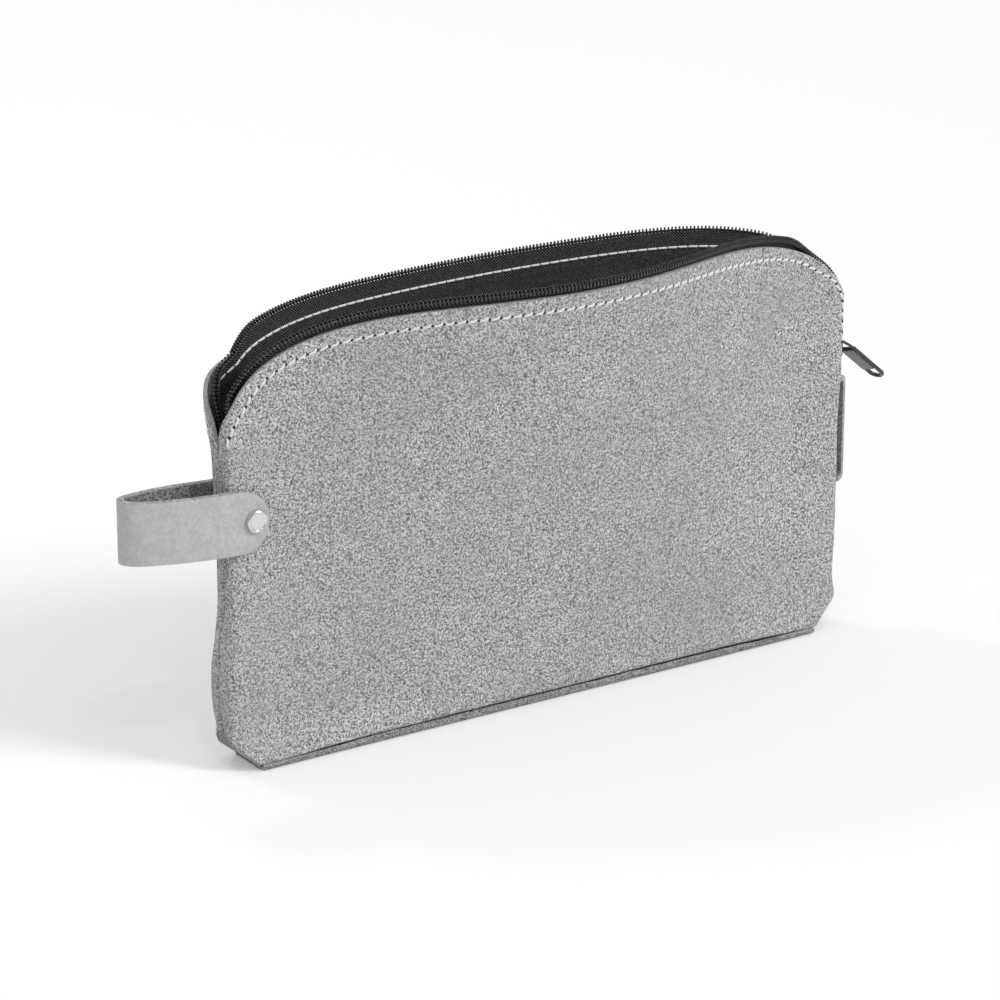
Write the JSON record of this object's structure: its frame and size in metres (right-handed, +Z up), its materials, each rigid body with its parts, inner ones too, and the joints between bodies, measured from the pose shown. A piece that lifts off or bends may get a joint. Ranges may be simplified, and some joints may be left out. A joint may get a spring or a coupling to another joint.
{
  "type": "zip pouch",
  "caption": "Soft upright leather zip pouch for small tools, with a curved open zip mouth, a riveted hand loop at one end and a small side loop at the other.",
  "frame": {"origin": "middle of the rest face, on the floor under the base", "axes": "+X towards the end of the bag with the zip slider, -Y out of the front panel, +Z up"},
  "size_m": [0.3173, 0.0717, 0.1619],
  "materials": {
    "suede": "soft napped suede, mid grey, cloudy",
    "strap_leather": "smooth vegetable-tanned strap, light grey, raw cut edges",
    "lining": "black diagonal twill",
    "zip_tape": "black woven tape",
    "zip_coil": "black moulded coil, satin",
    "thread": "light waxed thread",
    "black_metal": "black satin die casting",
    "rivet_steel": "polished nickel, lightly scuffed"
  },
  "bodies": {
    "bag": {"front_panel": "suede", "back_panel": "suede", "base_panel": "suede", "front_lining": "lining", "back_lining": "lining", "base_lining": "lining", "front_zip_tape": "zip_tape", "back_zip_tape": "zip_tape", "front_zip_coil": "zip_coil", "back_zip_coil": "zip_coil", "front_filler_cord": "zip_tape", "back_filler_cord": "zip_tape", "front_topstitching": "thread", "back_topstitching": "thread", "zip_bottom_stop": "black_metal", "zip_top_stops": "black_metal", "front_rivet_cap": "rivet_steel", "front_rivet_post": "rivet_steel", "back_rivet_cap": "rivet_steel", "back_rivet_post": "rivet_steel", "side_loop": "strap_leather", "side_loop_stitches": "thread"},
    "slider": {"slider_body": "black_metal"},
    "pull": {"pull_tab": "black_metal"},
    "hand_loop": {"hand_loop": "strap_leather"}
  },
  "joints": [
    {"name": "slider_travel", "type": "slide", "parent": "bag", "child": "slider", "axis": [0, 0, 1], "range_m": [0, 0.009]},
    {"name": "pull_swing", "type": "hinge", "parent": "slider", "child": "pull", "pos_m": [0.13035, 0, 0.1083], "axis": [0, -1, 0], "range_deg": [-10, 125]},
    {"name": "hand_loop_swing", "type": "hinge", "parent": "bag", "child": "hand_loop", "pos_m": [-0.1203, 0, 0.091], "axis": [0, 1, 0], "range_deg": [-18, 18]}
  ]
}
